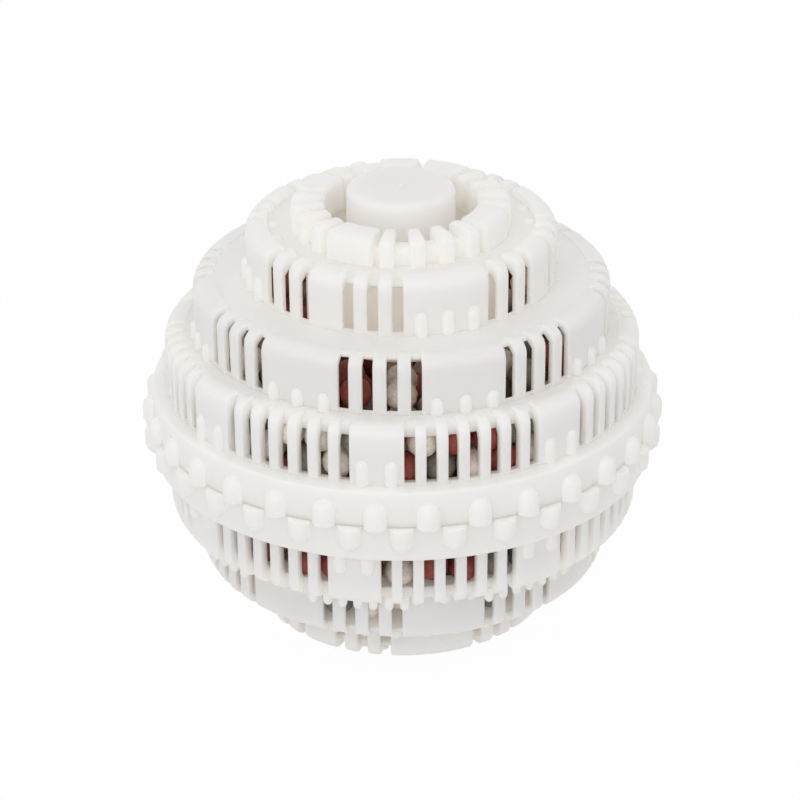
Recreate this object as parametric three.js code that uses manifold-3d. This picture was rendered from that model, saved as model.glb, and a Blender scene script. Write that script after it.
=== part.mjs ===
// Wash ball: two slotted plastic half shells that close over a charge of loose ceramic beads.
// Millimetres, +Z up. The ball stands on the flat cap of its lower pole, which is at z = 0.
import * as THREE from 'three';
import { mergeVertices } from 'three/addons/utils/BufferGeometryUtils.js';
import Module from 'manifold-3d';

// Walls, gaps and the number of flat sides that stand for a round
const WALL = 2;
const SEAT_GAP = 0.3;
const FIT_GAP = 0.2;
const SIDES = 32;

// Belt at the parting plane, with the spigot that centres the upper half in the lower one
const BELT_RADIUS = 48;
const BELT_HEIGHT = 7;
const SPIGOT_WALL = 1.7;
const SPIGOT_DEPTH = 4;

// Three tiers of one half, counted from the belt to the pole, each set back from the one below
const TIER_1_STEP = 2.8;
const TIER_1_HEIGHT = 11.4;
const TIER_2_STEP = 5.8;
const TIER_2_HEIGHT = 10.7;
const TIER_3_STEP = 10.2;
const TIER_3_HEIGHT = 9.4;
const SHOULDER = 2;

// Toothed crown, the well inside it, and the pole cap that stands in the well
const CROWN_WALL = 4.5;
const CROWN_HEIGHT = 3.6;
const WELL_RADIUS = 15.5;
const WELL_DEPTH = 22;
const CAP_RADIUS = 10.2;
const CAP_RISE = 3.9;
const CAP_EDGE = 0.9;
const GATE_RADIUS = 0.7;
const GATE_HEIGHT = 0.4;

// Slots, and how far they stay from the ledge below and from the rounded shoulder above
const SLOT_WIDTH = 2.2;
const SLOT_FOOT = 0.7;
const SLOT_HEAD = 0.1;

// Row of round-headed nubs on each half's belt
const BELT_NUBS = 32;
const BELT_NUB_WIDTH = 3.5;
const BELT_NUB_HEIGHT = 5.5;
const BELT_NUB_REACH = 2;
const NUB_SIDES = 6;

// Crown teeth: groups of narrow teeth between wide blocks
const TOOTH_GROUPS = 4;
const TEETH_PER_GROUP = 4;
const TOOTH_PITCH = 16;
const TOOTH_SPAN = 8;
const BLOCK_SPAN = 27;
const TOOTH_RISE = 1.5;
const TOOTH_REACH = 0.7;

// How far each half is turned about the pole axis, in degrees from the front
const UPPER_CLOCK = -5.625;
const LOWER_CLOCK = 33.75;

// Loose beads that lie in two rings on top of the packed ones
const BEAD_DIAMETER = 6;
const OUTER_RING_BEADS = 26;
const INNER_RING_BEADS = 18;
const BEAD_SIDES = 6;

// Radii and heights of one half, with heights counted from the parting plane
const TIER_1_RADIUS = BELT_RADIUS - TIER_1_STEP;
const TIER_2_RADIUS = TIER_1_RADIUS - TIER_2_STEP;
const TIER_3_RADIUS = TIER_2_RADIUS - TIER_3_STEP;
const CROWN_RADIUS = WELL_RADIUS + CROWN_WALL;
const TIER_1_TOP = BELT_HEIGHT + TIER_1_HEIGHT;
const TIER_2_TOP = TIER_1_TOP + TIER_2_HEIGHT;
const TIER_3_TOP = TIER_2_TOP + TIER_3_HEIGHT;
const CROWN_TOP = TIER_3_TOP + CROWN_HEIGHT;
const CAP_TOP = CROWN_TOP + CAP_RISE;
const WELL_FLOOR = CROWN_TOP - WELL_DEPTH;
const HALF_GAP = SEAT_GAP / 2;

// A polygon's flats lie inside its corners by this factor, so a round bore is opened by as much
const FLATS = Math.cos(Math.PI / SIDES);
const SOCKET_RADIUS = BELT_RADIUS - WALL;
const SPIGOT_RADIUS = SOCKET_RADIUS * FLATS - FIT_GAP;
const SPIGOT_BORE = SPIGOT_RADIUS - SPIGOT_WALL;
const COLUMN_RADIUS = WELL_RADIUS + WALL;

// The packed beads reach up to the underside of the first ledge of the upper half
const BEAD_LEVEL = TIER_1_TOP - WALL - SEAT_GAP;

// Each tier's pattern is one repeat of its places round the ball: S is a slot and P a place in a plain panel.
// It starts so many places away from the seam line at the middle of a panel.
const TIERS = [
  { radius: TIER_1_RADIUS, foot: BELT_HEIGHT, top: TIER_1_TOP, repeats: 8, pattern: 'PSSSSSSSP', start: 0.5 },
  { radius: TIER_2_RADIUS, foot: TIER_1_TOP, top: TIER_2_TOP, repeats: 8, pattern: 'PPSSSSP', start: 3.5 },
  { radius: TIER_3_RADIUS, foot: TIER_2_TOP, top: TIER_3_TOP, repeats: 4, pattern: 'PPSSSPSSSP', start: 2.5 },
];

const wasm = await Module();
wasm.setup();

// Turns a closed geometry into a solid that can be joined and cut
function solid(geometry) {
  const bare = geometry.clone();
  bare.deleteAttribute('normal');
  bare.deleteAttribute('uv');
  const merged = mergeVertices(bare, 1e-4);
  const corners = merged.index.array;
  const triangles = [];
  for (let i = 0; i < corners.length; i += 3) {
    const [a, b, c] = corners.slice(i, i + 3);
    if (a !== b && b !== c && c !== a) triangles.push(a, b, c);
  }
  return new wasm.Manifold(new wasm.Mesh({
    numProp: 3,
    vertProperties: new Float32Array(merged.attributes.position.array),
    triVerts: new Uint32Array(triangles),
  }));
}

// Turns a solid back into a geometry
function geometryOf(body) {
  const mesh = body.getMesh();
  const geometry = new THREE.BufferGeometry();
  geometry.setAttribute('position', new THREE.BufferAttribute(new Float32Array(mesh.vertProperties), 3));
  geometry.setIndex(new THREE.BufferAttribute(new Uint32Array(mesh.triVerts), 1));
  geometry.computeVertexNormals();
  return geometry;
}

// Revolves an outline of [radius, height] points about the pole axis, with a flat side to the front
function revolve(outline, sides) {
  const points = outline.map(([radius, height]) => new THREE.Vector2(radius, height));
  return new THREE.LatheGeometry(points, sides).rotateX(Math.PI / 2).rotateZ(Math.PI / sides);
}

// Moves a geometry out from the axis, then turns it to an angle counted from the front towards +X
function placeAround(geometry, radius, degrees) {
  return geometry.translate(0, -radius, 0).rotateZ(THREE.MathUtils.degToRad(degrees));
}

// Outline of the half shell from the cap's top out to the belt and back along the inside.
// The rim is the part of the outline that differs between the spigot and the socket.
function shellOutline(rim) {
  const outside = [
    [0, CAP_TOP],
    [CAP_RADIUS - CAP_EDGE, CAP_TOP],
    [CAP_RADIUS, CAP_TOP - CAP_EDGE],
    [CAP_RADIUS, WELL_FLOOR],
    [WELL_RADIUS, WELL_FLOOR],
    [WELL_RADIUS, CROWN_TOP],
    [CROWN_RADIUS, CROWN_TOP],
    [CROWN_RADIUS, TIER_3_TOP],
  ];
  for (const { radius, foot, top } of [...TIERS].reverse()) {
    outside.push([radius - SHOULDER, top], [radius, top - SHOULDER], [radius, foot]);
  }
  outside.push([BELT_RADIUS, BELT_HEIGHT], [BELT_RADIUS, HALF_GAP]);
  const inside = TIERS.flatMap(({ radius, top }, index) => {
    const nextWall = index + 1 < TIERS.length ? TIERS[index + 1].radius - WALL : COLUMN_RADIUS;
    return [[radius - WALL, top - WALL], [nextWall, top - WALL]];
  });
  const core = [
    [COLUMN_RADIUS, WELL_FLOOR - WALL],
    [CAP_RADIUS - WALL, WELL_FLOOR - WALL],
    [CAP_RADIUS - WALL, CAP_TOP - WALL],
    [0, CAP_TOP - WALL],
  ];
  return [...outside, ...rim, ...inside, ...core].reverse();
}

// The upper half's rim reaches down into the lower half; the lower half's rim is a plain socket
const SPIGOT_RIM = [
  [SPIGOT_RADIUS, HALF_GAP],
  [SPIGOT_RADIUS, -SPIGOT_DEPTH],
  [SPIGOT_BORE, -SPIGOT_DEPTH],
  [SPIGOT_BORE, BELT_HEIGHT - WALL],
  [TIER_1_RADIUS - WALL, BELT_HEIGHT - WALL],
];
const SOCKET_RIM = [
  [SOCKET_RADIUS, HALF_GAP],
  [SOCKET_RADIUS, BELT_HEIGHT - WALL],
  [TIER_1_RADIUS - WALL, BELT_HEIGHT - WALL],
];

// Cutters for the slots of one tier
function slotCutters({ radius, foot, top, repeats, pattern, start }) {
  const cutters = [];
  const places = repeats * pattern.length;
  const height = top - SHOULDER - SLOT_HEAD - foot - SLOT_FOOT;
  for (let place = 0; place < places; place++) {
    if (pattern[place % pattern.length] !== 'S') continue;
    const box = new THREE.BoxGeometry(SLOT_WIDTH, 2 * WALL, height);
    box.translate(0, 0, foot + SLOT_FOOT + height / 2);
    cutters.push(solid(placeAround(box, radius - WALL / 2, (start + place) * 360 / places)));
  }
  return cutters;
}

// Row of nubs on the belt, with their flat ends on the parting plane and a corner pointing out
function beltNubs() {
  const nubs = [];
  const half = BELT_NUB_WIDTH / 2;
  const outline = [[0, 0], [half, 0], [half, BELT_NUB_HEIGHT - half], [0, BELT_NUB_HEIGHT]];
  for (let index = 0; index < BELT_NUBS; index++) {
    const peg = revolve(outline, NUB_SIDES).rotateZ(Math.PI / NUB_SIDES).translate(0, 0, HALF_GAP);
    const radius = BELT_RADIUS + BELT_NUB_REACH - half;
    nubs.push(solid(placeAround(peg, radius, index * 360 / BELT_NUBS)));
  }
  return nubs;
}

// One crown tooth: a straight block across the crown's wall, as wide as its span
function crownTooth(span, angle) {
  const inner = WELL_RADIUS + TOOTH_REACH;
  const outer = CROWN_RADIUS + TOOTH_REACH;
  const half = THREE.MathUtils.degToRad(span / 2);
  const sector = new THREE.Shape();
  sector.moveTo(-inner * Math.sin(half), -inner * Math.cos(half));
  sector.lineTo(-outer * Math.sin(half), -outer * Math.cos(half));
  sector.lineTo(0, -outer);
  sector.lineTo(outer * Math.sin(half), -outer * Math.cos(half));
  sector.lineTo(inner * Math.sin(half), -inner * Math.cos(half));
  sector.lineTo(0, -inner);
  sector.closePath();
  const height = CROWN_HEIGHT + TOOTH_RISE + WALL / 2;
  const block = new THREE.ExtrudeGeometry(sector, { depth: height, bevelEnabled: false });
  block.translate(0, 0, TIER_3_TOP - WALL / 2);
  return solid(block.rotateZ(THREE.MathUtils.degToRad(angle)));
}

// Narrow teeth in groups, with a wide block between two groups
function crownTeeth() {
  const teeth = [];
  const groupAngle = 360 / TOOTH_GROUPS;
  for (let group = 0; group < TOOTH_GROUPS; group++) {
    const middle = (group + 0.25) * groupAngle;
    for (let tooth = 0; tooth < TEETH_PER_GROUP; tooth++) {
      const offset = (tooth - (TEETH_PER_GROUP - 1) / 2) * TOOTH_PITCH;
      teeth.push(crownTooth(TOOTH_SPAN, middle + offset));
    }
    teeth.push(crownTooth(BLOCK_SPAN, middle + groupAngle / 2));
  }
  return teeth;
}

// Small moulding mark in the middle of the cap's top
function gateMark() {
  const mark = new THREE.CylinderGeometry(GATE_RADIUS / 2, GATE_RADIUS, 2 * GATE_HEIGHT, NUB_SIDES);
  return solid(mark.rotateX(Math.PI / 2).translate(0, 0, CAP_TOP));
}

// One half shell in its own frame: parting plane at z = 0, pole towards +Z
function halfShell(rim, extras) {
  const slots = wasm.Manifold.union(TIERS.flatMap(slotCutters));
  const body = solid(revolve(shellOutline(rim), SIDES)).subtract(slots);
  return geometryOf(wasm.Manifold.union([body, ...beltNubs(), ...crownTeeth(), ...extras]));
}

// Envelope of the packed beads: it fills the lower half, round its well column and inside its hollow cap,
// up to the bead level
function bedGeometry() {
  const inset = (size) => size - WALL - SEAT_GAP;
  const within = (radius) => radius * FLATS;
  const girth = within(Math.min(inset(TIER_1_RADIUS), SPIGOT_BORE - SEAT_GAP));
  const waist = within(inset(TIER_2_RADIUS));
  const foot = within(inset(TIER_3_RADIUS));
  const core = within(inset(CAP_RADIUS));
  const column = (COLUMN_RADIUS + SEAT_GAP) / FLATS;
  return geometryOf(solid(revolve([
    [0, -inset(CAP_TOP)],
    [core, -inset(CAP_TOP)],
    [core, -inset(WELL_FLOOR)],
    [column, -inset(WELL_FLOOR)],
    [column, -inset(TIER_3_TOP)],
    [foot, -inset(TIER_3_TOP)],
    [foot, -inset(TIER_2_TOP)],
    [waist, -inset(TIER_2_TOP)],
    [waist, -inset(TIER_1_TOP)],
    [girth, -inset(TIER_1_TOP)],
    [girth, BEAD_LEVEL],
    [0, BEAD_LEVEL],
  ], SIDES)));
}

const WHITE_PLASTIC = new THREE.MeshStandardMaterial({ color: 0xececea, roughness: 0.45, metalness: 0 });
const MIXED_BEADS = new THREE.MeshStandardMaterial({ color: 0x8f837a, roughness: 0.7, metalness: 0 });
const BEAD_FINISHES = {
  cream: new THREE.MeshStandardMaterial({ color: 0xd4cabf, roughness: 0.65, metalness: 0 }),
  grey: new THREE.MeshStandardMaterial({ color: 0x68655e, roughness: 0.7, metalness: 0 }),
  red: new THREE.MeshStandardMaterial({ color: 0x82372f, roughness: 0.7, metalness: 0 }),
};
const BEAD_ORDER = ['cream', 'red', 'cream', 'grey', 'red', 'cream', 'cream', 'grey'];

// Loose beads in two rings on top of the bed, inside the upper half
function looseBeads() {
  const group = new THREE.Group();
  const counts = { cream: 0, grey: 0, red: 0 };
  const bead = new THREE.SphereGeometry(BEAD_DIAMETER / 2, BEAD_SIDES, BEAD_SIDES - 2).rotateX(Math.PI / 2);
  const outerRing = TIER_2_RADIUS - WALL - SEAT_GAP - BEAD_DIAMETER / 2;
  const rings = [
    { radius: outerRing, count: OUTER_RING_BEADS },
    { radius: outerRing - BEAD_DIAMETER - SEAT_GAP, count: INNER_RING_BEADS },
  ];
  for (const { radius, count } of rings) {
    for (let index = 0; index < count; index++) {
      const colour = BEAD_ORDER[index % BEAD_ORDER.length];
      counts[colour] += 1;
      const mesh = new THREE.Mesh(bead, BEAD_FINISHES[colour]);
      const angle = 2 * Math.PI * index / count;
      mesh.name = `bead_${colour}_${String(counts[colour]).padStart(2, '0')}`;
      mesh.position.set(
        radius * Math.sin(angle),
        -radius * Math.cos(angle),
        BEAD_LEVEL + SEAT_GAP + BEAD_DIAMETER / 2,
      );
      group.add(mesh);
    }
  }
  return group;
}

const upperShell = new THREE.Mesh(halfShell(SPIGOT_RIM, [gateMark()]), WHITE_PLASTIC);
upperShell.name = 'upper_shell';
upperShell.rotation.z = THREE.MathUtils.degToRad(UPPER_CLOCK);

const lowerShell = new THREE.Mesh(halfShell(SOCKET_RIM, []), WHITE_PLASTIC);
lowerShell.name = 'lower_shell';
lowerShell.rotation.set(0, Math.PI, THREE.MathUtils.degToRad(LOWER_CLOCK), 'ZYX');

const beadBed = new THREE.Mesh(bedGeometry(), MIXED_BEADS);
beadBed.name = 'bead_bed';

const ball = new THREE.Group();
ball.add(lowerShell, upperShell, beadBed, looseBeads());
ball.position.z = CAP_TOP;

export default ball;
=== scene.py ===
"""Looks of a wash ball: two slotted white half shells closed over a charge of ceramic beads."""

import math

import bmesh
import bpy
import numpy as np
from mathutils import Euler, Matrix, Vector


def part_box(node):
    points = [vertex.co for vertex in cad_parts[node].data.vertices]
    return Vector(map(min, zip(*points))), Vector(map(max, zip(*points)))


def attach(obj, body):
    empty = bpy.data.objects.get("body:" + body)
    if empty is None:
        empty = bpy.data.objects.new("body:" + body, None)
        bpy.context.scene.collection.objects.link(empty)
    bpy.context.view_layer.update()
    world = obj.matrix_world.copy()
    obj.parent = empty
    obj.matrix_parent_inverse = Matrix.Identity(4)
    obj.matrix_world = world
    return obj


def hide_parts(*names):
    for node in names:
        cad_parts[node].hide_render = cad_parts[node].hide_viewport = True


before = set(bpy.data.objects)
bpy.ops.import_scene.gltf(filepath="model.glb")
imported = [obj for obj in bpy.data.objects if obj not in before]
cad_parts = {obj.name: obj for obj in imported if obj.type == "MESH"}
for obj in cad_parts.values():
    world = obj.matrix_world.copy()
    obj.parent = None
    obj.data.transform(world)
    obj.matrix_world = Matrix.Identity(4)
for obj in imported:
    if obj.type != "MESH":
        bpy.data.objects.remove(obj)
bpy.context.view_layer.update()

bl_info = {
    "name": "Wash ball",
    "version": (1, 0, 0),
    "blender": (4, 5, 0),
    "location": "View3D > Sidebar > Wash ball",
    "description": "Builds the shells, the beads and the stage of a wash ball around its CAD frame",
    "category": "Object",
}

MM = 0.001
UPPER_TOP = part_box("upper_shell")[1].z
LOWER_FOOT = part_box("lower_shell")[0].z
GATE_HEIGHT = 0.4 * MM
GATE_TIP = 0.45 * MM
GATE_FOOT = 0.9 * MM
GATE_SINK = 0.1 * MM
PARTING = (LOWER_FOOT + UPPER_TOP - GATE_HEIGHT) / 2
BEAD_NODES = sorted(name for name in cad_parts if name.startswith("bead_") and name != "bead_bed")

# Turn of each half about the pole axis, from the front
UPPER_CLOCK = math.radians(-5.625)
LOWER_CLOCK = math.radians(33.75)

# Smoothness of the rounds
RING_STEPS = 160
NUB_STEPS = 10
SHARP_ANGLE = math.radians(38)


class WashBallSizes(bpy.types.PropertyGroup):
    """Sizes of one half, counted from the parting plane and from the pole axis"""

    belt_radius: bpy.props.FloatProperty(
        name="Belt radius", description="Outside of the belt", default=48 * MM, unit="LENGTH")
    belt_height: bpy.props.FloatProperty(
        name="Belt height", description="Top of one half's belt", default=7 * MM, unit="LENGTH")
    tier_radii: bpy.props.FloatVectorProperty(
        name="Tier radii", description="Outside of the three slotted tiers, from the belt to the pole",
        default=(45.2 * MM, 39.4 * MM, 29.2 * MM), size=3, unit="LENGTH")
    tier_tops: bpy.props.FloatVectorProperty(
        name="Tier tops", description="Height of the three ledges, from the belt to the pole",
        default=(18.4 * MM, 29.1 * MM, 38.5 * MM), size=3, unit="LENGTH")
    wall: bpy.props.FloatProperty(
        name="Wall", description="Thickness of the moulding", default=2 * MM, unit="LENGTH")
    shoulder: bpy.props.FloatProperty(
        name="Shoulder", description="Round at the top of each bar", default=2.4 * MM, unit="LENGTH")
    slot_width: bpy.props.FloatProperty(
        name="Slot width", description="Clear width of a slot", default=2 * MM, unit="LENGTH")
    crown_radius: bpy.props.FloatProperty(
        name="Crown radius", description="Outside of the crown between its teeth", default=19.2 * MM,
        unit="LENGTH")
    crown_top: bpy.props.FloatProperty(
        name="Crown top", description="Height of the crown between its teeth", default=41.4 * MM,
        unit="LENGTH")
    well_radius: bpy.props.FloatProperty(
        name="Well radius", description="Well round the pole cap", default=15.5 * MM, unit="LENGTH")
    well_floor: bpy.props.FloatProperty(
        name="Well floor", description="Height of the well's floor", default=20.1 * MM, unit="LENGTH")
    cap_radius: bpy.props.FloatProperty(
        name="Cap radius", description="Flat round cap at the pole", default=10.2 * MM, unit="LENGTH")
    cap_top: bpy.props.FloatProperty(
        name="Cap top", description="Height of the cap", default=46 * MM, unit="LENGTH")
    belt_nub_width: bpy.props.FloatProperty(
        name="Belt nub width", description="Width of a round nub on the belt", default=4.4 * MM,
        unit="LENGTH")
    belt_nub_height: bpy.props.FloatProperty(
        name="Belt nub height", description="Length of a nub from the parting plane", default=5 * MM,
        unit="LENGTH")
    belt_nub_reach: bpy.props.FloatProperty(
        name="Belt nub reach", description="How far a nub stands out of the belt", default=2 * MM,
        unit="LENGTH")
    bead_diameter: bpy.props.FloatProperty(
        name="Bead diameter", description="Size of one ceramic bead", default=6 * MM, unit="LENGTH")


def linear_colour(hex_code):
    """Linear RGBA of an sRGB hex code"""
    channels = [int(hex_code[i:i + 2], 16) / 255 for i in (1, 3, 5)]
    linear = [c / 12.92 if c <= 0.04045 else ((c + 0.055) / 1.055) ** 2.4 for c in channels]
    return (*linear, 1.0)


def colour_property(name, description, hex_code):
    return bpy.props.FloatVectorProperty(
        name=name, description=description, default=linear_colour(hex_code), size=4, min=0, max=1,
        subtype="COLOR")


class WashBallColours(bpy.types.PropertyGroup):
    """Colours of the plastic and of the three kinds of bead"""

    plastic: colour_property("Plastic", "White moulded plastic", "#FCFBF7")
    plastic_thin: colour_property("Thin plastic", "Slightly greyer flow of the plastic", "#F9F8F3")
    # Colour of the painted glow: emission that stands in for light scattered inside the cage, not a colour
    # of the plastic
    painted_glow: colour_property("Plastic glow", "Light scattered for long inside the cage", "#FFF1E0")
    cream: colour_property("Cream", "Pale ceramic", "#F6EEE4")
    cream_speck: colour_property("Cream speck", "Grit in the pale ceramic", "#D3C7B7")
    grey: colour_property("Grey", "Grey ceramic", "#8A867D")
    grey_speck: colour_property("Grey speck", "Grit in the grey ceramic", "#69655B")
    red: colour_property("Red", "Red-brown ceramic", "#A04A3E")
    red_speck: colour_property("Red speck", "Grit in the red-brown ceramic", "#7C382F")
    floor: colour_property("Floor", "Plain pale floor", "#F6F6F6")


# Slots round each tier: S is a slot and P a place in a plain panel. The first place is so many places
# from the middle of a first-tier panel. The slots end below the ledge, and the bars may rise over it.
# Depth is that of the bars, and plate the thickness of the ledge. Nubs stand in the wide panels, by angle
# from the panel's middle.
TIER_PATTERNS = (
    {"pattern": "PSSSSSSSP" * 8, "start": 0.5, "head": 2.88 * MM, "rise": 0.0, "depth": 1.95 * MM,
     "plate": 1.7 * MM, "nub_height": 5.2 * MM, "nub_turns": (-3.3, 3.3)},
    {"pattern": "PPSSSSP" * 8, "start": 3.5, "head": 1.24 * MM, "rise": 0.0, "depth": 1.2 * MM,
     "plate": 2.0 * MM, "nub_height": 3.3 * MM, "nub_turns": (-7.6, 0, 7.6)},
    {"pattern": "PPSSSPSSSP" * 4, "start": 2.5, "head": 1.21 * MM, "rise": 1.2 * MM, "depth": 1.2 * MM,
     "plate": 2.0 * MM, "nub_height": 4.6 * MM, "nub_turns": (-9.75, 0, 9.75)},
)
PANEL_NUB_WIDTH = 2.4 * MM
PANEL_NUB_INSET = 0.15 * MM
NUBS_PER_BELT = 32
BELT_EDGE = 0.6 * MM

# Ledge plates lie a little below the bars that cross them, and their edge is set back
PLATE_DROP = 0.35 * MM
PLATE_SETBACK = 2.4 * MM
PLATE_ROUND = 1.2 * MM
PLATE_ROUND_SHARE = 0.7
PLATE_LIP = 0.9 * MM
PLATE_SLOPE = 0.5
PLATE_LAP = 0.3 * MM
CROWN_LAP = 1 * MM
BAR_TAIL = 1.7 * MM
BAR_SINK = 0.4 * MM
BAR_TIP = 0.6 * MM
BAR_EDGE = 0.42 * MM
SILL_HEIGHT = 0.45 * MM
SILL_SETBACK = 0.2 * MM
SILL_SLOPE = 0.55 * MM

# The column round the well is wider than the well's mouth, and thinner than the rest, so that light comes
# through it. The pole cap in its middle widens a little towards the floor.
COLUMN_RADIUS = 18 * MM
COLUMN_WALL = 1.4 * MM
CROWN_EDGE = 0.5 * MM
CAP_EDGE = 1.4 * MM
CAP_DRAFT = 0.15 * MM

# Crown teeth by angle, in four groups: narrow ones, and one wide block between two groups
TOOTH_GROUPS = 4
GROUP_MIDDLES = tuple(22.5 + 90 * group for group in range(TOOTH_GROUPS))
NARROW_TEETH = (-24, -8, 8, 24)
NARROW_TOOTH = 8
WIDE_TOOTH = 27
# One pair of narrow teeth at the back is a single block
PAIR_MIDDLE = GROUP_MIDDLES[2] - 16
PAIR_BLOCK = 22
TOOTH_RISE = 2.2 * MM
TOOTH_REACH = 1.5 * MM
TOOTH_INSET = -1.2 * MM
TOOTH_EDGE = 0.85 * MM
TOOTH_OUTER_ROUND = 1.6 * MM
TOOTH_INNER_ROUND = 1.1 * MM

# Round-headed pegs on the three ledges
LEDGE_PEGS = (
    {"turns": [45 * group + 3.9 * step for group in range(8) for step in range(-3, 4)],
     "radius": 42.2 * MM, "width": 1.75 * MM, "rise": 2.2 * MM, "sides": ("lower",)},
    {"turns": [9 * step for step in range(40)],
     "radius": 36.4 * MM, "width": 2.4 * MM, "rise": 0.9 * MM, "sides": ("lower",)},
    {"turns": [middle + step for middle in GROUP_MIDDLES for step in (-16, 0, 16)],
     "radius": 24.0 * MM, "width": 2.6 * MM, "rise": 0.5 * MM, "sides": ("upper", "lower")},
)
PEG_ROOT = 0.6 * MM

# The two halves nearly touch at the parting plane
SEAM = 0.02 * MM
SPIGOT_OUTSIDE = 45.55 * MM
SPIGOT_INSIDE = 43.9 * MM
SPIGOT_DEPTH = 4 * MM


def arc(centre, radius, start, end, count):
    """Points of a round in an outline of (radius, height), by angles in degrees"""
    angles = [math.radians(start + (end - start) * i / count) for i in range(count + 1)]
    return [(centre[0] + radius * math.cos(a), centre[1] + radius * math.sin(a)) for a in angles]


def outline_vertices(bm, outline):
    return [bm.verts.new((0, -radius, height)) for radius, height in outline]


def spun_ring(outline):
    """Closed outline spun once round the pole axis"""
    bm = bmesh.new()
    verts = outline_vertices(bm, outline)
    edges = [bm.edges.new(pair) for pair in zip(verts, verts[1:] + verts[:1])]
    bmesh.ops.spin(
        bm, geom=verts + edges, cent=(0, 0, 0), axis=(0, 0, 1), angle=math.tau, steps=RING_STEPS,
        use_merge=True)
    return bm


def spun_solid(outline, steps):
    """Outline that starts and ends on the pole axis, spun once round it, with its poles closed"""
    bm = bmesh.new()
    verts = outline_vertices(bm, outline)
    edges = [bm.edges.new(pair) for pair in zip(verts, verts[1:])]
    bmesh.ops.spin(
        bm, geom=verts + edges, cent=(0, 0, 0), axis=(0, 0, 1), angle=math.tau, steps=steps, use_merge=True)
    bmesh.ops.remove_doubles(bm, verts=bm.verts, dist=0.001 * MM)
    return bm


def swept_block(outline, span, edge):
    """Stretch of a ring, its middle at the front, with the edges of its two ends rounded"""
    bm = bmesh.new()
    verts = outline_vertices(bm, outline)
    face = bm.faces.new(verts)
    bmesh.ops.rotate(bm, verts=verts, cent=(0, 0, 0), matrix=Matrix.Rotation(-span / 2, 3, "Z"))
    steps = max(1, round(span / math.tau * RING_STEPS))
    swept = bmesh.ops.spin(
        bm, geom=verts + list(face.edges) + [face], cent=(0, 0, 0), axis=(0, 0, 1), angle=span, steps=steps)
    last = [item for item in swept["geom_last"] if isinstance(item, bmesh.types.BMFace)]
    rims = {rim for end_face in [face] + last for rim in end_face.edges}
    bmesh.ops.bevel(
        bm, geom=list(rims), offset=edge, offset_type="OFFSET", segments=2, profile=0.5, affect="EDGES",
        material=-1, clamp_overlap=True)
    return bm


def upright_nub(width, height, foot, radius):
    """Round-headed nub that stands upright at a radius, at the front"""
    half = width / 2
    outline = [(0, foot), (half, foot)]
    outline += arc((0, foot + height - half), half, 0, 90, 3)[:-1] + [(0, foot + height)]
    bm = spun_solid(outline, NUB_STEPS)
    bmesh.ops.translate(bm, verts=bm.verts, vec=(0, -radius, 0))
    return bm


def row_of(*shapes):
    """Copies of each shape at its turns about the pole axis, in radians, as one part"""
    row = bmesh.new()
    for shape, turns in shapes:
        mesh = bpy.data.meshes.new("shape")
        shape.to_mesh(mesh)
        shape.free()
        last = 0
        for turn in turns:
            mesh.transform(Matrix.Rotation(turn - last, 4, "Z"))
            last = turn
            row.from_mesh(mesh, face_normals=False, vertex_normals=False)
        bpy.data.meshes.remove(mesh)
    return row


def joined(parts):
    """One closed mesh of parts that reach into each other"""
    holders = []
    for part in parts:
        bmesh.ops.recalc_face_normals(part, faces=part.faces)
        mesh = bpy.data.meshes.new("part")
        part.to_mesh(mesh)
        part.free()
        holders.append(bpy.data.objects.new("part", mesh))
        bpy.context.scene.collection.objects.link(holders[-1])
    for holder in holders[1:]:
        weld = holders[0].modifiers.new("weld", "BOOLEAN")
        weld.operation = "UNION"
        weld.solver = "MANIFOLD"
        weld.object = holder
    graph = bpy.context.evaluated_depsgraph_get()
    whole = bpy.data.meshes.new_from_object(holders[0].evaluated_get(graph))
    for mesh in [holder.data for holder in holders]:
        bpy.data.meshes.remove(mesh)
    return whole


def belt_parts(sizes, rim):
    """Belt ring with its rounded edge, ledge and rim, and the row of nubs on it"""
    radius, top = sizes.belt_radius, sizes.belt_height
    ledge = sizes.tier_radii[0] - TIER_PATTERNS[0]["depth"] - PLATE_LAP
    outline = [(radius, SEAM)] + arc((radius - BELT_EDGE, top - BELT_EDGE), BELT_EDGE, 0, 90, 4)
    outline += [(ledge, top), (ledge, top - sizes.wall)] + rim
    nub_radius = radius + sizes.belt_nub_reach - sizes.belt_nub_width / 2
    nub = upright_nub(sizes.belt_nub_width, sizes.belt_nub_height, SEAM, nub_radius)
    turns = [math.tau * index / NUBS_PER_BELT for index in range(NUBS_PER_BELT)]
    return [spun_ring(outline), row_of((nub, turns))]


def ledge_plate(radius, top, inside, rule):
    """Ledge plate of a tier, whose rounded edge comes down to the heads of the slots"""
    plate = top - PLATE_DROP
    under = plate - rule["plate"]
    head = top - rule["head"]
    edge = radius - PLATE_SETBACK
    bend = min(PLATE_ROUND, PLATE_ROUND_SHARE * (plate - head))
    outline = [(inside, plate)] + arc((edge - bend, plate - bend), bend, 90, 0, 3) + [(edge, head)]
    if head < under:
        outline += [(edge - PLATE_LIP, head), (edge - PLATE_LIP, under)]
    else:
        outline.append((edge - (head - under) / PLATE_SLOPE, under))
    return spun_ring(outline + [(inside, under)])


def slot_sill(radius, foot, wall, depth):
    """Low rim under the slots of a tier"""
    outside, inside = radius - SILL_SETBACK, radius - depth
    return spun_ring([
        (inside, foot - wall / 2),
        (outside, foot - wall / 2),
        (outside, foot + SILL_HEIGHT),
        (inside, foot + SILL_HEIGHT - SILL_SLOPE),
    ])


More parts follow.
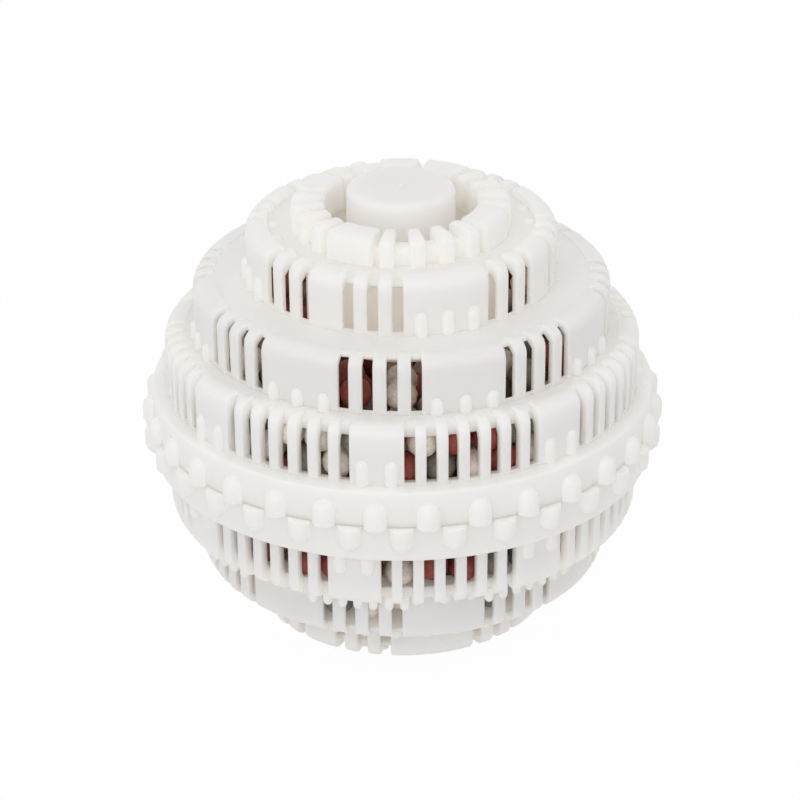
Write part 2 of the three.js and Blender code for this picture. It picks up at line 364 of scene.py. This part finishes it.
def bar_parts(sizes, radius, foot, top, rule):
    """Bars and panels between the slots of a tier, and the nubs on the wide panels"""
    pitch = math.tau / len(rule["pattern"])
    slot = 2 * math.asin(sizes.slot_width / 2 / radius)
    shoulder, crest = sizes.shoulder, top + rule["rise"]
    inner, tail = radius - rule["depth"], radius - sizes.shoulder - BAR_TAIL
    root, under = foot - sizes.wall / 2, top - PLATE_DROP - BAR_SINK
    lap, head = radius - PLATE_SETBACK - PLATE_LAP, top - rule["head"]
    outline = [(inner, root), (radius, root)]
    outline += arc((radius - shoulder, crest - shoulder), shoulder, 0, 90, 5)
    outline += arc((tail + BAR_TIP, crest - BAR_TIP), BAR_TIP, 90, 180, 2)
    outline += [(tail, under), (lap, under), (lap, head), (inner, head - 2 * BAR_TIP)]
    slots = [rule["start"] + place for place, kind in enumerate(rule["pattern"]) if kind == "S"]
    middles = {}
    for here, there in zip(slots, slots[1:] + [slots[0] + len(rule["pattern"])]):
        middles.setdefault(there - here, []).append((here + there) / 2 * pitch)
    bars = [
        (swept_block(outline, places * pitch - slot, BAR_EDGE), turns) for places, turns in middles.items()]
    nub = upright_nub(PANEL_NUB_WIDTH, rule["nub_height"], foot - PLATE_DROP, radius - PANEL_NUB_INSET)
    nub_turns = [turn + math.radians(step) for turn in middles[max(middles)] for step in rule["nub_turns"]]
    return [row_of(*bars), row_of((nub, nub_turns))]


def pole_core(sizes):
    """Crown ring, column of the well and hollow pole cap, as one spun form"""
    wall, edge = sizes.wall, CROWN_EDGE
    crown, well, cap = sizes.crown_radius, sizes.well_radius, sizes.cap_radius
    inside = COLUMN_RADIUS - COLUMN_WALL
    ledge = sizes.tier_tops[2] - wall
    outline = [(0, sizes.cap_top)]
    outline += arc((cap - CAP_EDGE, sizes.cap_top - CAP_EDGE), CAP_EDGE, 90, 0, 5)
    outline += [(cap + CAP_DRAFT, sizes.well_floor), (inside, sizes.well_floor)]
    outline += [(inside, ledge - (inside - well)), (well, ledge)]
    outline += arc((well + edge, sizes.crown_top - edge), edge, 180, 90, 2)
    outline += arc((crown - edge, sizes.crown_top - edge), edge, 90, 0, 2)
    outline += [(crown, ledge), (COLUMN_RADIUS, ledge), (COLUMN_RADIUS, sizes.well_floor - wall)]
    outline += [(cap - wall, sizes.well_floor - wall), (cap - wall, sizes.cap_top - wall)]
    outline += [(0, sizes.cap_top - wall)]
    return spun_solid(outline, RING_STEPS // 2)


def crown_teeth(sizes):
    """Rounded teeth over the crown"""
    inner = sizes.well_radius + TOOTH_INSET
    outer = sizes.crown_radius + TOOTH_REACH
    top = sizes.crown_top + TOOTH_RISE
    foot = sizes.tier_tops[2] - sizes.wall / 2
    outline = [(inner, foot), (outer, foot)]
    outline += arc((outer - TOOTH_OUTER_ROUND, top - TOOTH_OUTER_ROUND), TOOTH_OUTER_ROUND, 0, 90, 4)
    outline += arc((inner + TOOTH_INNER_ROUND, top - TOOTH_INNER_ROUND), TOOTH_INNER_ROUND, 90, 180, 3)
    middles = [middle + turn for middle in GROUP_MIDDLES for turn in NARROW_TEETH]
    narrow = [math.radians(middle) for middle in middles if abs(middle - PAIR_MIDDLE) > NARROW_TOOTH]
    wide = [math.radians(middle + 45) for middle in GROUP_MIDDLES]
    return row_of(
        (swept_block(outline, math.radians(NARROW_TOOTH), TOOTH_EDGE), narrow),
        (swept_block(outline, math.radians(PAIR_BLOCK), TOOTH_EDGE), [math.radians(PAIR_MIDDLE)]),
        (swept_block(outline, math.radians(WIDE_TOOTH), TOOTH_EDGE), wide))


def gate_mark(sizes):
    """Small moulding mark in the middle of the cap"""
    return spun_solid([
        (0, sizes.cap_top + GATE_HEIGHT),
        (GATE_TIP, sizes.cap_top + GATE_HEIGHT),
        (GATE_FOOT, sizes.cap_top - GATE_SINK),
        (0, sizes.cap_top - GATE_SINK),
    ], NUB_STEPS)


def half_shell_mesh(sizes, side, rim):
    """One half in its own frame: parting plane at z = 0, pole towards +Z"""
    parts = belt_parts(sizes, rim)
    feet = [sizes.belt_height, *sizes.tier_tops[:2]]
    insides = [
        radius - rule["depth"] - PLATE_LAP for radius, rule in zip(sizes.tier_radii[1:], TIER_PATTERNS[1:])]
    insides.append(sizes.well_radius + CROWN_LAP)
    for rule, pegs, radius, foot, top, inside in zip(
            TIER_PATTERNS, LEDGE_PEGS, sizes.tier_radii, feet, sizes.tier_tops, insides):
        parts.append(ledge_plate(radius, top, inside, rule))
        parts.append(slot_sill(radius, foot, sizes.wall, rule["depth"]))
        parts += bar_parts(sizes, radius, foot, top, rule)
        if side in pegs["sides"]:
            peg = upright_nub(pegs["width"], pegs["rise"] + PEG_ROOT, top - PEG_ROOT, pegs["radius"])
            parts.append(row_of((peg, [math.radians(turn) for turn in pegs["turns"]])))
    parts += [pole_core(sizes), crown_teeth(sizes)]
    if side == "upper":
        parts.append(gate_mark(sizes))
    return joined(parts)


def finish_piece(mesh, name, material, body):
    """Makes an object of a finished mesh that rides on a body"""
    mesh.name = name
    mesh.shade_smooth()
    mesh.set_sharp_from_angle(angle=SHARP_ANGLE)
    mesh.materials.clear()
    mesh.materials.append(material)
    piece = bpy.data.objects.new(name, mesh)
    bpy.context.scene.collection.objects.link(piece)
    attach(piece, body)
    return piece


def add_node(tree, kind, settings=None, **links):
    """Adds a node with its settings, and links or sets its inputs by name"""
    node = tree.nodes.new(kind)
    for key, value in (settings or {}).items():
        setattr(node, key, value)
    for key, value in links.items():
        socket = node.inputs[int(key[1:])] if key[1:].isdigit() else node.inputs[key.replace("_", " ")]
        if isinstance(value, bpy.types.NodeSocket):
            tree.links.new(value, socket)
        else:
            socket.default_value = value
    return node


def new_material(name):
    material = bpy.data.materials.new(name)
    material.use_nodes = True
    material.node_tree.nodes.clear()
    return material, material.node_tree


# Strength of the painted glow, light painted into the plastic as emission, and where it grows: on the
# column's outside, below the crown
PAINTED_GLOW = 0.065
PAINTED_COLUMN_GLOW = 0.23
COLUMN_SKIN = 0.6 * MM
COLUMN_GLOW_END = 38 * MM
COLUMN_GLOW_FULL = 34 * MM


def moulded_polypropylene(colours):
    """White polypropylene out of a polished steel mould: satin, milky where it is thin, with faint
    clouding from the flow and a very fine orange-peel on the skin. A faint warm glow, stronger on the
    outside of the well's column, stands for the light that goes to and fro inside the cage for longer than
    the bounces of a render"""
    material, tree = new_material("moulded_polypropylene")
    place = add_node(tree, "ShaderNodeTexCoord").outputs["Object"]
    # Flow clouds about 14 mm across
    clouds = add_node(tree, "ShaderNodeTexNoise", Vector=place, Scale=1 / (14 * MM), Detail=3.0)
    flow = add_node(
        tree, "ShaderNodeMix", {"data_type": "RGBA"},
        i0=clouds.outputs["Fac"], i6=tuple(colours.plastic), i7=tuple(colours.plastic_thin))
    # Skin peel, drawn at 0.7 mm so that it shows
    peel = add_node(tree, "ShaderNodeTexNoise", Vector=place, Scale=1 / (0.7 * MM), Detail=2.0)
    bump = add_node(
        tree, "ShaderNodeBump", Strength=0.12, Distance=0.05 * MM, Height=peel.outputs["Fac"])
    gloss = add_node(
        tree, "ShaderNodeMapRange", Value=clouds.outputs["Fac"], To_Min=0.38, To_Max=0.5)
    # Painted glow by the distance from the pole axis and from the parting plane: more painted light on the
    # column's outside
    level = add_node(tree, "ShaderNodeVectorMath", {"operation": "MULTIPLY"}, i0=place, i1=(1, 1, 0))
    reach = add_node(tree, "ShaderNodeVectorMath", {"operation": "LENGTH"}, i0=level.outputs["Vector"])
    height = add_node(
        tree, "ShaderNodeMath", {"operation": "SUBTRACT"},
        i0=add_node(tree, "ShaderNodeSeparateXYZ", Vector=place).outputs["Z"], i1=PARTING)
    depth = add_node(tree, "ShaderNodeMath", {"operation": "ABSOLUTE"}, i0=height.outputs["Value"])
    near = add_node(
        tree, "ShaderNodeMath", {"operation": "COMPARE"},
        i0=reach.outputs["Value"], i1=COLUMN_RADIUS, i2=COLUMN_SKIN)
    deep = add_node(
        tree, "ShaderNodeMapRange", Value=depth.outputs["Value"],
        From_Min=COLUMN_GLOW_END, From_Max=COLUMN_GLOW_FULL)
    column = add_node(
        tree, "ShaderNodeMath", {"operation": "MULTIPLY"},
        i0=near.outputs["Value"], i1=deep.outputs["Result"])
    glow = add_node(
        tree, "ShaderNodeMapRange", Value=column.outputs["Value"], To_Min=PAINTED_GLOW, To_Max=PAINTED_COLUMN_GLOW)
    # The emission paints light into the plastic: a faint glow all over, and more painted light on the
    # column's outside
    shader = add_node(
        tree, "ShaderNodeBsdfPrincipled", {"subsurface_method": "RANDOM_WALK"},
        Base_Color=flow.outputs[2], Roughness=gloss.outputs["Result"], Normal=bump.outputs["Normal"],
        IOR=1.49, Subsurface_Weight=1.0, Subsurface_Scale=3.0 * MM, Subsurface_Radius=(1.0, 0.96, 0.9),
        Emission_Color=tuple(colours.painted_glow), Emission_Strength=glow.outputs["Result"])
    add_node(tree, "ShaderNodeOutputMaterial", Surface=shader.outputs["BSDF"])
    return material


def fired_clay(name, colour, speck):
    """Unglazed fired clay, tumbled smooth: dull, with grit in the body and a tone that differs by bead"""
    material, tree = new_material(name)
    place = add_node(tree, "ShaderNodeTexCoord").outputs["Object"]
    tone = add_node(tree, "ShaderNodeAttribute", {"attribute_name": "tone"})
    # Grit about 0.5 mm across, drawn at 0.8 mm so that it shows
    grit = add_node(
        tree, "ShaderNodeTexNoise", Vector=place, Scale=1 / (0.8 * MM), Detail=4.0, Roughness=0.65)
    specks = add_node(
        tree, "ShaderNodeMapRange", Value=grit.outputs["Fac"], From_Min=0.42, From_Max=0.72)
    body = add_node(
        tree, "ShaderNodeMix", {"data_type": "RGBA"}, i0=specks.outputs["Result"], i6=colour, i7=speck)
    shade = add_node(
        tree, "ShaderNodeHueSaturation", Color=body.outputs[2], Value=tone.outputs["Fac"])
    bump = add_node(
        tree, "ShaderNodeBump", Strength=0.35, Distance=0.08 * MM, Height=grit.outputs["Fac"])
    shader = add_node(
        tree, "ShaderNodeBsdfPrincipled", Base_Color=shade.outputs["Color"], Normal=bump.outputs["Normal"],
        Roughness=0.62, IOR=1.55)
    add_node(tree, "ShaderNodeOutputMaterial", Surface=shader.outputs["BSDF"])
    return material


# Room between a bead and the ledge over it, and between a bead and the bars
BEAD_HEADROOM = 0.2 * MM
BEAD_CLEARANCE = 0.1 * MM


def keep_inside(beads, sizes):
    """Brings bead centres back inside the steps of the shells, by the shorter way in or towards the belt"""
    bead = sizes.bead_diameter / 2
    levels = [
        top - PLATE_DROP - rule["plate"] - BEAD_HEADROOM - bead
        for top, rule in zip(sizes.tier_tops, TIER_PATTERNS)]
    rooms = [
        radius - rule["depth"] - BEAD_CLEARANCE - bead
        for radius, rule in zip(sizes.tier_radii, TIER_PATTERNS)]
    depth, side = np.abs(beads[:, 2]), np.sign(beads[:, 2])
    reach = np.hypot(beads[:, 0], beads[:, 1])
    depth = np.minimum(depth, np.where(side > 0, levels[0], levels[2]))
    room = np.minimum(reach, rooms[0])
    for level, inner in zip(levels, rooms[1:]):
        over, beyond = depth - level, room - inner
        out = (over > 0) & (beyond > 0)
        depth = np.where(out & (over <= beyond), level, depth)
        room = np.where(out & (over > beyond), inner, room)
    beads[:, :2] *= (room / np.maximum(reach, 1e-9))[:, None]
    beads[:, 2] = side * depth


# Beads are drawn where they show: two layers behind the walls and the top of the charge. Each row is a
# stretch of height and radius, the number of beads in it, and whether they lean on the wall.
BEAD_FIELDS = (
    (-13.1 * MM, 13.1 * MM, 28.0 * MM, 40.1 * MM, 560, 1.0),
    (-23.7 * MM, -13.0 * MM, 24.5 * MM, 34.8 * MM, 120, 1.0),
    (-33.1 * MM, -23.7 * MM, 20.9 * MM, 24.6 * MM, 40, 1.0),
    (5.0 * MM, 13.0 * MM, 0.0 * MM, 29.0 * MM, 150, 0.0),
)
BEAD_SEED = 7
SETTLE_ROUNDS = 150
SETTLE_PUSH = 0.4
SETTLE_STEP = 1.5 * MM
WALL_PULL = 0.16 * MM
BEAD_SHARES = (("cream", 0.5), ("grey", 0.21), ("red", 0.29))
BEAD_TONES = (0.86, 1.1)


def settled_beads(sizes):
    """Bead centres and colours: the loose beads of the frame, and a packed field that gives way to them"""
    rng = np.random.default_rng(BEAD_SEED)
    centre = np.array((0, 0, PARTING))
    fixed = np.array([sum(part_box(name), Vector()) / 2 for name in BEAD_NODES]) - centre
    names = [name.split("_")[1] for name in BEAD_NODES]
    places, leans = [fixed], [np.zeros(len(fixed))]
    for low, high, inside, outside, count, lean in BEAD_FIELDS:
        radius = np.sqrt(rng.uniform(inside ** 2, outside ** 2, count))
        turn = rng.uniform(0, math.tau, count)
        places.append(np.column_stack(
            (radius * np.cos(turn), radius * np.sin(turn), rng.uniform(low, high, count))))
        leans.append(np.full(count, lean))
    beads, leans = np.vstack(places), np.concatenate(leans)
    free = np.arange(len(beads)) >= len(fixed)
    for step in range(SETTLE_ROUNDS):
        apart = beads[:, None, :] - beads[None, :, :]
        gaps = np.linalg.norm(apart, axis=2)
        np.fill_diagonal(gaps, 1)
        overlap = np.clip(sizes.bead_diameter - gaps, 0, None)
        push = (apart * (overlap * SETTLE_PUSH / np.maximum(gaps, 1e-6))[:, :, None]).sum(axis=1)
        reach = np.hypot(beads[:, 0], beads[:, 1])
        pull = WALL_PULL * (1 - step / SETTLE_ROUNDS) * leans / np.maximum(reach, 1e-6)
        push[:, :2] += beads[:, :2] * pull[:, None]
        moved = beads + np.clip(push, -SETTLE_STEP, SETTLE_STEP)
        keep_inside(moved, sizes)
        beads[free] = moved[free]
    kinds, shares = zip(*BEAD_SHARES)
    names += list(rng.choice(kinds, size=len(beads) - len(fixed), p=shares))
    turns = rng.uniform(0, math.tau, (len(beads), 3))
    tones = rng.uniform(*BEAD_TONES, len(beads))
    return beads + centre, names, turns, tones


class WASHBALL_OT_half_shells(bpy.types.Operator):
    """Builds the two half shells"""

    bl_idname = "washball.half_shells"
    bl_label = "Half shells"

    def execute(self, context):
        sizes, colours = context.scene.wash_ball_sizes, context.scene.wash_ball_colours
        plastic = moulded_polypropylene(colours)
        under = sizes.belt_height - sizes.wall
        spigot = [(SPIGOT_INSIDE, under), (SPIGOT_INSIDE, -SPIGOT_DEPTH), (SPIGOT_OUTSIDE, -SPIGOT_DEPTH),
                  (SPIGOT_OUTSIDE, SEAM)]
        socket = [(sizes.belt_radius - sizes.wall, under), (sizes.belt_radius - sizes.wall, SEAM)]
        lift = Matrix.Translation((0, 0, PARTING))
        halves = (
            ("upper", spigot, lift @ Matrix.Rotation(UPPER_CLOCK, 4, "Z")),
            ("lower", socket,
             lift @ Matrix.Rotation(LOWER_CLOCK, 4, "Z") @ Matrix.Rotation(math.pi, 4, "Y")),
        )
        for side, rim, place in halves:
            mesh = half_shell_mesh(sizes, side, rim)
            mesh.transform(place)
            piece = finish_piece(mesh, f"{side}_half_moulding", plastic, f"{side}_half")
            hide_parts(f"{side}_shell")
        return {"FINISHED"}


class WASHBALL_OT_beads(bpy.types.Operator):
    """Builds the ceramic beads, one piece for each colour"""

    bl_idname = "washball.beads"
    bl_label = "Ceramic beads"

    def execute(self, context):
        sizes, colours = context.scene.wash_ball_sizes, context.scene.wash_ball_colours
        places, names, turns, tones = settled_beads(sizes)
        ball = bmesh.new()
        bmesh.ops.create_icosphere(ball, subdivisions=2, radius=sizes.bead_diameter / 2)
        pattern = bpy.data.meshes.new("bead")
        ball.to_mesh(pattern)
        ball.free()
        for kind, _ in BEAD_SHARES:
            bm = bmesh.new()
            shades = []
            for place, name, turn, shade in zip(places, names, turns, tones):
                if name != kind:
                    continue
                bead = pattern.copy()
                bead.transform(Matrix.Translation(place) @ Euler(turn).to_matrix().to_4x4())
                bm.from_mesh(bead, face_normals=False, vertex_normals=False)
                bpy.data.meshes.remove(bead)
                shades += [shade] * len(pattern.vertices)
            tone = bm.verts.layers.float.new("tone")
            for vert, shade in zip(bm.verts, shades):
                vert[tone] = shade
            mesh = bpy.data.meshes.new(f"{kind}_beads")
            bm.to_mesh(mesh)
            bm.free()
            clay = fired_clay(
                f"fired_clay_{kind}", tuple(getattr(colours, kind)),
                tuple(getattr(colours, f"{kind}_speck")))
            piece = finish_piece(mesh, f"{kind}_beads", clay, "bead_charge")
            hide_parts(*[name for name in BEAD_NODES if name.startswith(f"bead_{kind}_")])
            if kind == "cream":
                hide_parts("bead_bed")
        bpy.data.meshes.remove(pattern)
        return {"FINISHED"}


# Camera of the photograph, from a fit of the slots and nubs
CAMERA_DISTANCE = 510 * MM
CAMERA_TURN = math.radians(0.28)
CAMERA_RISE = math.radians(27.03)
CAMERA_ROLL = math.radians(-0.44)
FOCAL_LENGTH = 118.4
SENSOR = 36
PHOTO_WIDTH = 800
VIEW_SHIFT = (-2.4 / PHOTO_WIDTH, 5.3 / PHOTO_WIDTH)
NEAREST_SEEN = 0.01

# Paper floor: its half width, and the share of plain white that the camera sees on it beside the shadow
FLOOR_REACH = 6
FLOOR_WHITE = 0.97
# Light of the white surround on the ball
SURROUND_LIGHT = 0.69


def towards(turn, rise):
    """Direction from the ball, by its turn from the front towards +X and its rise"""
    return Vector((math.sin(turn) * math.cos(rise), -math.cos(turn) * math.cos(rise), math.sin(rise)))


def add_lamp(name, turn, rise, distance, size, power):
    """Square soft lamp that faces the ball"""
    lamp = bpy.data.lights.new(name, "AREA")
    lamp.energy = power
    lamp.size = size
    holder = bpy.data.objects.new(name, lamp)
    middle = Vector((0, 0, PARTING))
    way = towards(math.radians(turn), math.radians(rise))
    holder.location = middle + distance * way
    holder.rotation_euler = (-way).to_track_quat("-Z", "Y").to_euler()
    bpy.context.scene.collection.objects.link(holder)


def seen_background(tree):
    """One where a ray comes from the camera, a reflection or a clear body, for a plain white surround"""
    path = add_node(tree, "ShaderNodeLightPath")
    clear = add_node(
        tree, "ShaderNodeMath", {"operation": "MAXIMUM"},
        i0=path.outputs["Is Glossy Ray"], i1=path.outputs["Is Transmission Ray"])
    return add_node(
        tree, "ShaderNodeMath", {"operation": "MAXIMUM"},
        i0=path.outputs["Is Camera Ray"], i1=clear.outputs["Value"]).outputs["Value"]


class WASHBALL_OT_stage(bpy.types.Operator):
    """Builds the floor, the light and the camera"""

    bl_idname = "washball.stage"
    bl_label = "Stage"

    def execute(self, context):
        scene = context.scene
        scene.view_settings.view_transform = "Standard"
        self.add_floor(scene)
        self.add_world(scene)
        add_lamp("front_softbox", turn=-16, rise=36, distance=1.1, size=0.9, power=2.1)
        self.add_camera(scene)
        return {"FINISHED"}

    def add_floor(self, scene):
        bm = bmesh.new()
        bmesh.ops.create_grid(bm, x_segments=1, y_segments=1, size=FLOOR_REACH)
        mesh = bpy.data.meshes.new("studio_floor")
        bm.to_mesh(mesh)
        bm.free()
        material, tree = new_material("matte_paper_floor")
        paper = add_node(
            tree, "ShaderNodeBsdfDiffuse", Color=tuple(scene.wash_ball_colours.floor))
        white = add_node(tree, "ShaderNodeEmission", Color=(1, 1, 1, 1), Strength=1.0)
        share = add_node(
            tree, "ShaderNodeMath", {"operation": "MULTIPLY"}, i0=seen_background(tree), i1=FLOOR_WHITE)
        surface = add_node(
            tree, "ShaderNodeMixShader", i0=share.outputs["Value"],
            i1=paper.outputs["BSDF"], i2=white.outputs["Emission"])
        add_node(tree, "ShaderNodeOutputMaterial", Surface=surface.outputs["Shader"])
        mesh.materials.append(material)
        floor = bpy.data.objects.new("studio_floor", mesh)
        scene.collection.objects.link(floor)

    def add_world(self, scene):
        world = bpy.data.worlds.new("studio_surround")
        world.use_nodes = True
        tree = world.node_tree
        tree.nodes.clear()
        strength = add_node(
            tree, "ShaderNodeMapRange", Value=seen_background(tree), To_Min=SURROUND_LIGHT, To_Max=1.0)
        surround = add_node(
            tree, "ShaderNodeBackground", Color=(1, 1, 1, 1), Strength=strength.outputs["Result"])
        add_node(tree, "ShaderNodeOutputWorld", Surface=surround.outputs["Background"])
        scene.world = world

    def add_camera(self, scene):
        lens = bpy.data.cameras.new("photo_camera")
        lens.sensor_width = SENSOR
        lens.sensor_fit = "HORIZONTAL"
        lens.lens = FOCAL_LENGTH
        lens.shift_x, lens.shift_y = VIEW_SHIFT
        lens.clip_start = NEAREST_SEEN
        camera = bpy.data.objects.new("photo_camera", lens)
        way = towards(CAMERA_TURN, CAMERA_RISE)
        aim = (-way).to_track_quat("-Z", "Y").to_matrix().to_4x4()
        spot = Matrix.Translation(Vector((0, 0, PARTING)) + CAMERA_DISTANCE * way)
        camera.matrix_world = spot @ aim @ Matrix.Rotation(CAMERA_ROLL, 4, "Z")
        scene.collection.objects.link(camera)
        scene.camera = camera


class WASHBALL_PT_panel(bpy.types.Panel):
    """Lists the steps of the wash ball, with its sizes and colours"""

    bl_idname = "WASHBALL_PT_panel"
    bl_label = "Wash ball"
    bl_space_type = "VIEW_3D"
    bl_region_type = "UI"
    bl_category = "Wash ball"

    def draw(self, context):
        layout = self.layout
        for operator in OPERATORS:
            layout.operator(operator.bl_idname)
        for group in (context.scene.wash_ball_sizes, context.scene.wash_ball_colours):
            column = layout.column()
            for name in group.__annotations__:
                column.prop(group, name)


OPERATORS = (WASHBALL_OT_half_shells, WASHBALL_OT_beads, WASHBALL_OT_stage)
CLASSES = (WashBallSizes, WashBallColours, *OPERATORS, WASHBALL_PT_panel)


def register():
    for cls in CLASSES:
        bpy.utils.register_class(cls)
    bpy.types.Scene.wash_ball_sizes = bpy.props.PointerProperty(type=WashBallSizes)
    bpy.types.Scene.wash_ball_colours = bpy.props.PointerProperty(type=WashBallColours)


def unregister():
    del bpy.types.Scene.wash_ball_colours
    del bpy.types.Scene.wash_ball_sizes
    for cls in reversed(CLASSES):
        bpy.utils.unregister_class(cls)


def main():
    register()
    bpy.ops.washball.half_shells()
    bpy.ops.washball.beads()
    bpy.ops.washball.stage()


if __name__ == "__main__":
    main()
